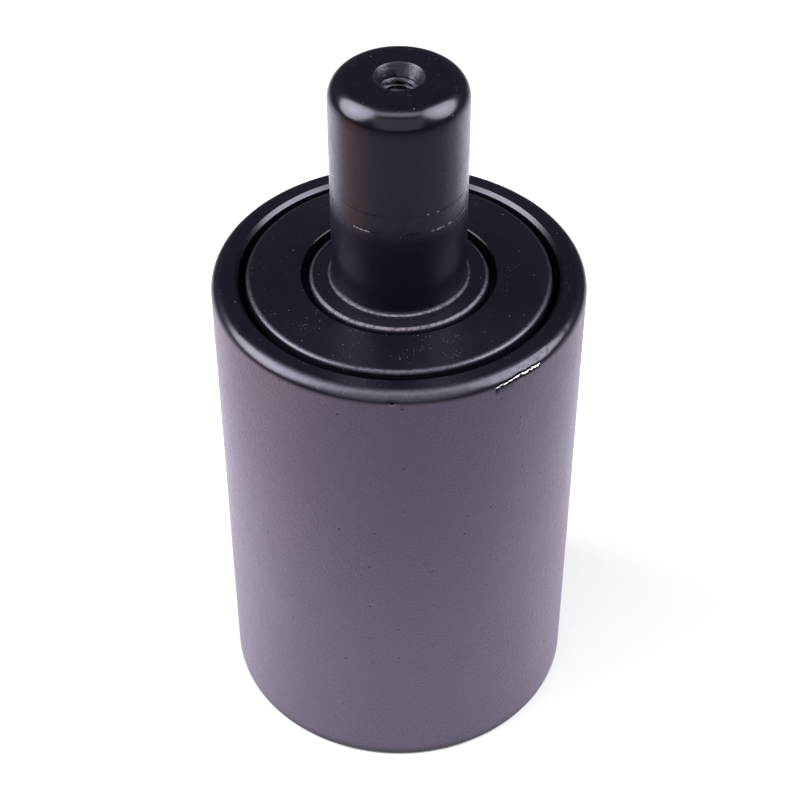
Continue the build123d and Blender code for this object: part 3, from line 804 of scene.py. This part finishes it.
def shell_paint():
    """Black paint: glossy on the machined rim, and rougher and greyer over the forged tread."""
    finish = Finish("shell_paint")
    tread = finish.share("tread")
    cloud = finish.noise(26.0, detail=3.0)
    grain = finish.noise(0.6, detail=3.0, rough=0.6)
    orange_peel = finish.noise(1.3, detail=1.0)
    pits = finish.specks(finish.unrolled, size=0.38, spacing=7.0, share=0.25)
    rim_colour = finish.mix(cloud, grey(0.002, VIOLET), grey(0.0032, VIOLET))
    coarse = finish.ramp(finish.noise(16.0, detail=2.0), 0.4, 0.62, 0.7, 1.15)
    speckle = finish.ramp(finish.noise(0.35, detail=2.0, rough=0.7), 0.35, 0.65, -1.0, 1.0)
    mottle = finish.math("ADD", cloud, finish.math("MULTIPLY", speckle, coarse))
    tread_colour = finish.mix(mottle, grey(0.046, GREY_VIOLET), grey(0.06, GREY_VIOLET))
    # Painted highlight and rubbed paint: the band on the rim's round turns a lighter grey and
    # rougher towards the front, where it catches the light.
    at_front = finish.ramp(finish.back, -22.0, -36.0)
    sheen_and_rub = finish.math("MULTIPLY", finish.share("sheen_and_rub"), at_front)
    patchy = finish.ramp(finish.noise(0.9, detail=3.0), 0.3, 0.6, 0.6, 1.0)
    thin_paint_and_sheen = finish.math("MULTIPLY", sheen_and_rub, patchy)
    colour = finish.mix(tread, finish.mix(thin_paint_and_sheen, rim_colour, RIM_SHEEN_AND_RUB), tread_colour)
    colour, _ = dusty(finish, colour, 0.3)
    # Painted shade: the tread's pits are darkened as well as sunk by a bump.
    colour = finish.mix(finish.math("MULTIPLY", pits, tread), colour, grey(0.004))
    bare = finish.share("bare")
    crevice_shade = finish.share("crevice_shade")
    torn = finish.ramp(finish.noise(0.5, detail=2.0), 0.35, 0.6)
    colour = finish.mix(bare, colour, finish.mix(torn, grey(0.16), BARE_STEEL))
    # Painted shade: the gouge's hollows and the pit turn near black and lose their shine.
    colour = finish.mix(crevice_shade, colour, grey(0.002))
    scuffed = finish.share("scuffed")
    scuffs = finish.ramp(finish.noise(0.9, detail=3.0), 0.35, 0.65, 0.32, 0.5)
    rim_rough = finish.blend(sheen_and_rub, finish.ramp(cloud, 0.3, 0.7, 0.24, 0.3), 0.38)
    rim_rough = finish.blend(scuffed, rim_rough, scuffs)
    roughness = finish.blend(tread, rim_rough, finish.ramp(grain, 0.3, 0.7, 0.36, 0.45))
    roughness = finish.blend(bare, roughness, 0.4)
    specular = finish.blend(crevice_shade, finish.blend(tread, 0.5, 0.6), 0.0)
    finish.bump(finish.math("MULTIPLY", finish.math("MULTIPLY", grain, coarse), tread), 0.17)
    finish.bump(orange_peel, 0.008)
    finish.bump(finish.math("MULTIPLY", finish.noise(0.7, detail=3.0), scuffed), 0.04)
    finish.bump(finish.math("MULTIPLY", pits, tread), -0.12)
    finish.bump(finish.noise(0.25, finish.lathe, stretch=(1, 1, 0.05)), 0.004)
    return finish.finish(
        Base_Color=colour, Roughness=roughness, Metallic=bare,
        Specular_IOR_Level=specular, Specular_Tint=SHINE_TINT,
    )


def collar_paint():
    """Thin glossy black paint over a faced plate, with its turning marks and dust."""
    finish = Finish("collar_paint")
    rings = finish.noise(0.3, finish.lathe, detail=2.0, stretch=(1, 1, 0.04))
    cloud = finish.noise(14.0, detail=3.0)
    colour = finish.mix(cloud, grey(0.002, VIOLET), grey(0.0034, VIOLET))
    # Worn paint and painted highlight on the collar's outer round.
    colour = finish.mix(worn_edge_and_sheen(finish, COLLAR.outside - COLLAR_ROUND + 0.4), colour, WORN_AND_SHEEN)
    colour, dust = dusty(finish, colour, 0.5)
    roughness = finish.ramp(cloud, 0.3, 0.7, 0.28, 0.34)
    finish.bump(rings, 0.006)
    finish.bump(finish.noise(1.1), 0.006)
    finish.bump(dust, 0.03)
    return finish.finish(Base_Color=colour, Roughness=roughness, Specular_Tint=SHINE_TINT)


def stub_paint():
    """Glossy black paint on the turned stub, over the ground steel of the bearing seats."""
    finish = Finish("stub_paint")
    painted = finish.share("painted")
    bare = finish.math("MAXIMUM", finish.share("bare"), finish.math("SUBTRACT", 1.0, painted))
    lines = finish.noise(0.22, finish.lathe, detail=2.0, stretch=(1, 1, 0.03))
    cloud = finish.noise(9.0, detail=3.0)
    side = finish.ramp(finish.height, AXLE.high - STUB_ROUND + 1.0, AXLE.high - STUB_ROUND - 2.0)
    paint = finish.mix(cloud, grey(0.0014, VIOLET), grey(0.0026, VIOLET))
    paint = finish.mix(side, paint, finish.mix(cloud, grey(0.0035, VIOLET), grey(0.0053, VIOLET)))
    on_flange = finish.ramp(finish.height, FLANGE_TOP + 1.0, FLANGE_TOP + 0.4)
    # Worn paint and painted highlights on the flange's round and the stub's root round.
    rim = worn_edge_and_sheen(finish, FLANGE_RADIUS - FLANGE_ROUND / 2, 0.45)
    root = worn_edge_and_sheen(finish, STUB_RADIUS + ROOT_ROUND * 0.65, 0.38)
    edge = finish.math("MULTIPLY", finish.math("MAXIMUM", rim, root), on_flange)
    paint = finish.mix(on_flange, paint, grey(0.0045, VIOLET))
    paint = finish.mix(edge, paint, FLANGE_WORN_AND_SHEEN)
    paint, dust = dusty(finish, paint, 0.3)
    steel = finish.mix(finish.ramp(lines, 0.3, 0.7), grey(0.5), grey(0.62))
    colour = finish.mix(bare, paint, steel)
    gloss = finish.ramp(cloud, 0.3, 0.7, 0.17, 0.23)
    side_gloss = finish.ramp(finish.noise(2.5, detail=4.0), 0.3, 0.7, 0.21, 0.31)
    gloss = finish.blend(side, gloss, side_gloss)
    lower = finish.ramp(finish.height, WEAR_HEIGHTS[0] + 1.0, WEAR_HEIGHTS[0] - 3.0)
    gloss = finish.blend(lower, gloss, 0.28)
    gloss = finish.blend(on_flange, gloss, 0.42)
    in_hole = finish.ramp(finish.radius, CENTRE_RADIUS + 0.3, CENTRE_RADIUS - 0.3)
    gloss = finish.blend(in_hole, gloss, 0.36)
    roughness = finish.blend(bare, gloss, finish.ramp(lines, 0.3, 0.7, 0.24, 0.36))
    shadow = finish.math("MULTIPLY", finish.share("groove"), 0.8)
    shine = finish.blend(lower, finish.blend(side, 0.47, 0.56), 0.2)
    shine = finish.blend(bare, finish.blend(shadow, shine, 0.0), 0.5)
    finish.bump(lines, 0.007)
    finish.bump(finish.noise(1.6), 0.006)
    finish.bump(finish.math("MULTIPLY", finish.noise(0.45, detail=3.0), side), 0.012)
    finish.bump(finish.math("MULTIPLY", finish.noise(0.7, detail=3.0), in_hole), 0.12)
    finish.bump(dust, 0.03)
    return finish.finish(
        Base_Color=colour, Roughness=roughness, Metallic=bare,
        Specular_IOR_Level=shine, Specular_Tint=SHINE_TINT,
    )


def turned_metal(name, lightness, rough, line_depth, line_size, tint=(1, 1, 1)):
    """Bare machined metal with turning lines, light stains and an oil film."""
    finish = Finish(name)
    lines = finish.noise(line_size, finish.lathe, detail=3.0, stretch=(1, 1, 0.03))
    stains = finish.noise(8.0, detail=4.0, rough=0.6)
    clean, stained = grey(lightness, tint), grey(lightness * 0.8, tint)
    shade = finish.mix(finish.ramp(stains, 0.35, 0.7), clean, stained)
    shade = finish.mix(finish.ramp(lines, 0.35, 0.75, 0, 0.25), shade, grey(lightness * 0.7, tint))
    roughness = finish.ramp(lines, 0.3, 0.7, rough, rough * 1.5)
    finish.bump(lines, line_depth)
    finish.bump(finish.noise(1.5), 0.003)
    return finish.finish(Base_Color=shade, Roughness=roughness, Metallic=1.0, Coat_Weight=0.15)


def coated_metal(name, lightness, rough, grain_depth, tint):
    """Blackened or plated metal with an even fine grain and worn, lighter patches."""
    finish = Finish(name)
    grain = finish.noise(0.4, detail=3.0, rough=0.6)
    patches = finish.noise(5.0, detail=4.0, rough=0.6)
    coating, worn = grey(lightness, tint), grey(lightness * 1.35, tint)
    shade = finish.mix(finish.ramp(patches, 0.3, 0.75), coating, worn)
    stains = finish.specks(finish.place, size=0.2, spacing=1.8, share=0.2)
    shade = finish.mix(stains, shade, grey(lightness * 0.5, tint))
    roughness = finish.ramp(grain, 0.3, 0.7, rough, rough * 1.3)
    finish.bump(grain, grain_depth)
    return finish.finish(Base_Color=shade, Roughness=roughness, Metallic=1.0)


def seal_rubber():
    """Matt black nitrile rubber with a fine moulded grain and a little bloom."""
    finish = Finish("seal_rubber")
    bloom = finish.noise(4.0, detail=4.0, rough=0.65)
    colour = finish.mix(finish.ramp(bloom, 0.45, 0.75), grey(0.012), grey(0.03, (1.0, 0.98, 0.94)))
    finish.bump(finish.noise(0.18, detail=2.0), 0.012)
    roughness = finish.ramp(bloom, 0.3, 0.7, 0.5, 0.68)
    return finish.finish(Base_Color=colour, Roughness=roughness)


def cap_paint():
    """The shell's black paint on the turned end cap, duller and dustier in its dish."""
    finish = Finish("cap_paint")
    rings = finish.noise(0.5, finish.lathe, detail=2.0, stretch=(1, 1, 0.04))
    cloud = finish.noise(11.0, detail=4.0, rough=0.6)
    grime = finish.ramp(finish.noise(3.0, detail=4.0), 0.45, 0.75, 0, 0.5)
    colour = finish.mix(cloud, grey(0.007, VIOLET), grey(0.012, VIOLET))
    colour = finish.mix(grime, colour, grey(0.035, (1.0, 0.93, 0.9)))
    colour, _ = dusty(finish, colour, 0.4)
    roughness = finish.ramp(cloud, 0.3, 0.7, 0.3, 0.42)
    finish.bump(rings, 0.012)
    finish.bump(finish.noise(1.2), 0.01)
    return finish.finish(Base_Color=colour, Roughness=roughness, Specular_Tint=SHINE_TINT)


BRASS_TINT = (1.0, 0.7, 0.3)
COPPER_TINT = (1.0, 0.55, 0.38)
IRON_TINT = (1.0, 0.98, 0.95)
ZINC_TINT = (1.0, 0.93, 0.72)
BLUED_TINT = (0.95, 0.97, 1.05)
BLACKED_TINT = (1.0, 0.98, 1.05)

TURNED_METALS = {
    "bearing_steel": dict(lightness=0.62, rough=0.12, line_depth=0.002, line_size=0.15),
    "ball_steel": dict(lightness=0.72, rough=0.05, line_depth=0.0005, line_size=0.6),
    "turned_steel": dict(lightness=0.5, rough=0.26, line_depth=0.01, line_size=0.4),
    "cage_brass": dict(
        lightness=0.75, rough=0.2, line_depth=0.004, line_size=0.3, tint=BRASS_TINT
    ),
    "seal_iron": dict(lightness=0.4, rough=0.18, line_depth=0.003, line_size=0.2, tint=IRON_TINT),
    "copper": dict(lightness=0.8, rough=0.22, line_depth=0.004, line_size=0.3, tint=COPPER_TINT),
}
COATED_METALS = {
    "nut_steel": dict(lightness=0.06, rough=0.34, grain_depth=0.012, tint=BLACKED_TINT),
    "spring_steel": dict(lightness=0.09, rough=0.3, grain_depth=0.006, tint=BLUED_TINT),
    "plated_steel": dict(lightness=0.55, rough=0.24, grain_depth=0.004, tint=ZINC_TINT),
}


def finish_frame_nodes():
    """Gives each CAD node that stays in view the finish of its material slot."""
    finishes = {"shell_paint": cap_paint(), "seal_rubber": seal_rubber()}
    for slot, look in TURNED_METALS.items():
        finishes[slot] = turned_metal(slot, **look)
    for slot, look in COATED_METALS.items():
        finishes[slot] = coated_metal(slot, **look)
    for part in frame["record"]["subparts"]:
        piece = frame["nodes"][part["node"]]
        if piece.hide_render:
            continue
        for material_slot in piece.material_slots:
            material_slot.material = finishes[part["material_slot"]]


# ---- Stage, light and camera -------------------------------------------------------------

FLOOR_HALF = 4.0
FLOOR_GAP = 0.00005
FLOOR_WHITE = 0.62
FLOOR_MIRRORED = 0.92
FLOOR_TINT = (1.0, 0.96, 1.08)
# Painted light on the floor, seen only in reflections: it dims outwards, less so at the back,
# towards the front, and in a painted contact shadow round the foot.
FADE_OUT_FROM, FADE_OUT_TO, FADE_OUT_LEAST = 90.0, 165.0, 0.34
CONTACT_SHADOW_FROM, CONTACT_SHADOW_TO, CONTACT_SHADOW_LEAST = 45.0, 78.0, 0.8
FADE_BACK_FROM, FADE_BACK_TO, FADE_BACK_MOST = 20.0, 140.0, 2.1
FADE_FRONT_FROM, FADE_FRONT_TO, FADE_FRONT_LEAST = -10.0, -50.0, 0.55
WARM_AZIMUTH = -75.0
WARM_HALF = 36.0
WARM_FROM, WARM_TO = 120.0, 175.0
WARM_COLOUR = (0.34, 0.2, 0.16, 1.0)
HORIZON_FROM, HORIZON_TO = 300.0, 650.0
LAMP_DISTANCE = 0.85
OPEN = 180.0
SIDE_SPREAD = 100.0
SKY_LIGHT = 0.1
SKY_COLOUR = (1.0, 0.94, 1.2, 1.0)

CAMERA_ELEVATION = 42.294
CAMERA_DISTANCE = 0.4543
CAMERA_TARGET = 0.08104
CAMERA_LENS = 86.394
CAMERA_SHIFT = 0.00129


def open_below(finish):
    """Makes the floor clear from below, and lets light up through it where the object stands."""
    back = finish.node("ShaderNodeNewGeometry").outputs["Backfacing"]
    foot = SHELL.outside - FOOT_ROUND
    through = finish.math("MAXIMUM", back, finish.ramp(finish.radius, foot, foot - 0.1))
    clear = finish.node("ShaderNodeBsdfTransparent")
    choose = finish.node("ShaderNodeMixShader")
    for socket, value in zip(choose.inputs, (through, finish.shader.outputs[0], clear.outputs[0])):
        finish.put(socket, value)
    finish.put(finish.tree.nodes["Material Output"].inputs["Surface"], choose.outputs[0])


def floor_material():
    """White to the camera. Reflections see it with painted light fading outwards, and something
    warm at one side.
    """
    finish = Finish("floor")
    white = finish.mix(finish.noise(180.0), grey(FLOOR_WHITE), grey(FLOOR_WHITE * 0.97))
    # Painted light: the reflected floor dims as light falls off, with a painted contact shadow near
    # the foot.
    painted_falloff = finish.ramp(finish.radius, FADE_OUT_FROM, FADE_OUT_TO, 1.0, FADE_OUT_LEAST)
    back = finish.ramp(finish.back, FADE_BACK_FROM, FADE_BACK_TO, 1.0, FADE_BACK_MOST)
    painted_falloff = finish.math("MINIMUM", finish.math("MULTIPLY", painted_falloff, back), 1.0)
    near = finish.ramp(finish.radius, CONTACT_SHADOW_FROM, CONTACT_SHADOW_TO, CONTACT_SHADOW_LEAST, 1.0)
    painted_falloff = finish.math("MULTIPLY", painted_falloff, near)
    front = finish.ramp(finish.back, FADE_FRONT_TO, FADE_FRONT_FROM, FADE_FRONT_LEAST, 1.0)
    mirrored = grey(FLOOR_MIRRORED, FLOOR_TINT)
    shaded = finish.mix(finish.math("MULTIPLY", painted_falloff, front), grey(0.0), mirrored)
    turned = finish.math("SUBTRACT", finish.azimuth, math.radians(WARM_AZIMUTH))
    beside = finish.ramp(finish.math("ABSOLUTE", turned), math.radians(WARM_HALF), 0.0)
    warm = finish.math("MULTIPLY", beside, finish.ramp(finish.radius, WARM_FROM, WARM_TO))
    reflected = finish.mix(warm, shaded, WARM_COLOUR)
    seen = finish.node("ShaderNodeLightPath").outputs["Is Camera Ray"]
    colour = finish.mix(seen, reflected, white)
    horizon = finish.math("MULTIPLY", finish.ramp(finish.radius, HORIZON_FROM, HORIZON_TO), seen)
    open_below(finish)
    return finish.finish(
        Base_Color=colour, Roughness=0.9, Specular_IOR_Level=0.1,
        Emission_Color=grey(1.0), Emission_Strength=horizon,
    )


def build_floor():
    """A plain white floor under the object, outside its box."""
    level = CAD_BOX[0].z - FLOOR_GAP
    sides = ((-1, -1), (1, -1), (1, 1), (-1, 1))
    corners = [(x * FLOOR_HALF, y * FLOOR_HALF, level) for x, y in sides]
    mesh = bpy.data.meshes.new("floor")
    mesh.from_pydata(corners, [], [(0, 1, 2, 3)])
    mesh.materials.append(floor_material())
    floor = bpy.data.objects.new("floor", mesh)
    bpy.context.scene.collection.objects.link(floor)


def lamp(name, azimuth, elevation, size, radiance, spread=OPEN):
    """A soft lamp that faces the object. With a narrower spread it is an ellipse, not a panel."""
    light = bpy.data.lights.new(name, "AREA")
    light.size, light.size_y = size
    light.energy = radiance * math.pi * size[0] * size[1]
    light.spread = math.radians(spread)
    if spread < OPEN:
        light.shape = "ELLIPSE"
        reach = math.tan(light.spread / 2)
        light.energy *= math.pi / 4 * (reach - light.spread / 2) / reach
    else:
        light.shape = "RECTANGLE"
    holder = bpy.data.objects.new(name, light)
    bpy.context.scene.collection.objects.link(holder)
    turn, lift = math.radians(azimuth), math.radians(elevation)
    level = Vector((math.sin(turn), -math.cos(turn), 0)) * math.cos(lift)
    toward_lamp = level + Vector((0, 0, math.sin(lift)))
    middle = (CAD_BOX[0] + CAD_BOX[1]) / 2
    holder.location = middle + toward_lamp * LAMP_DISTANCE
    holder.rotation_mode = "QUATERNION"
    holder.rotation_quaternion = toward_lamp.to_track_quat("Z", "Y")


def build_sky():
    """A white background for the camera, and a dim sky for everything else."""
    world = bpy.data.worlds.new("sky")
    world.use_nodes = True
    bpy.context.scene.world = world
    tree = world.node_tree
    background = tree.nodes["Background"]
    seen = tree.nodes.new("ShaderNodeLightPath").outputs["Is Camera Ray"]
    for kind, target, dim, bright in (
        ("FLOAT", "Strength", SKY_LIGHT, 1.0),
        ("RGBA", "Color", SKY_COLOUR, grey(1.0)),
    ):
        choice = tree.nodes.new("ShaderNodeMix")
        choice.data_type = kind
        choice.inputs["A"].default_value = dim
        choice.inputs["B"].default_value = bright
        tree.links.new(seen, choice.inputs["Factor"])
        tree.links.new(choice.outputs["Result"], background.inputs[target])


def build_camera():
    """The camera, in front of and above the object."""
    data = bpy.data.cameras.new("camera")
    data.sensor_width = 36.0
    data.lens = CAMERA_LENS
    data.shift_x = CAMERA_SHIFT
    data.clip_start = 0.01
    camera = bpy.data.objects.new("camera", data)
    bpy.context.scene.collection.objects.link(camera)
    lift = math.radians(CAMERA_ELEVATION)
    back = Vector((0, -math.cos(lift), math.sin(lift)))
    camera.location = Vector((0, 0, CAMERA_TARGET)) + back * CAMERA_DISTANCE
    camera.rotation_mode = "QUATERNION"
    camera.rotation_quaternion = (-back).to_track_quat("-Z", "Y")
    bpy.context.scene.camera = camera


build_shell()
build_collar()
build_axle()
finish_frame_nodes()
build_floor()
lamp("left_lamp", azimuth=-84, elevation=36, size=(0.8, 1.05), radiance=14.4, spread=SIDE_SPREAD)
lamp("right_lamp", azimuth=84, elevation=40, size=(0.72, 0.9), radiance=12.5, spread=SIDE_SPREAD)
lamp("top_lamp", azimuth=0, elevation=76, size=(0.6, 0.22), radiance=5.0)
lamp("front_lamp", azimuth=0, elevation=30, size=(1.2, 0.8), radiance=0.9)
lamp("under_lamp", azimuth=0, elevation=-60, size=(0.9, 0.9), radiance=7.0)
build_sky()
build_camera()
bpy.context.scene.view_settings.view_transform = "Standard"
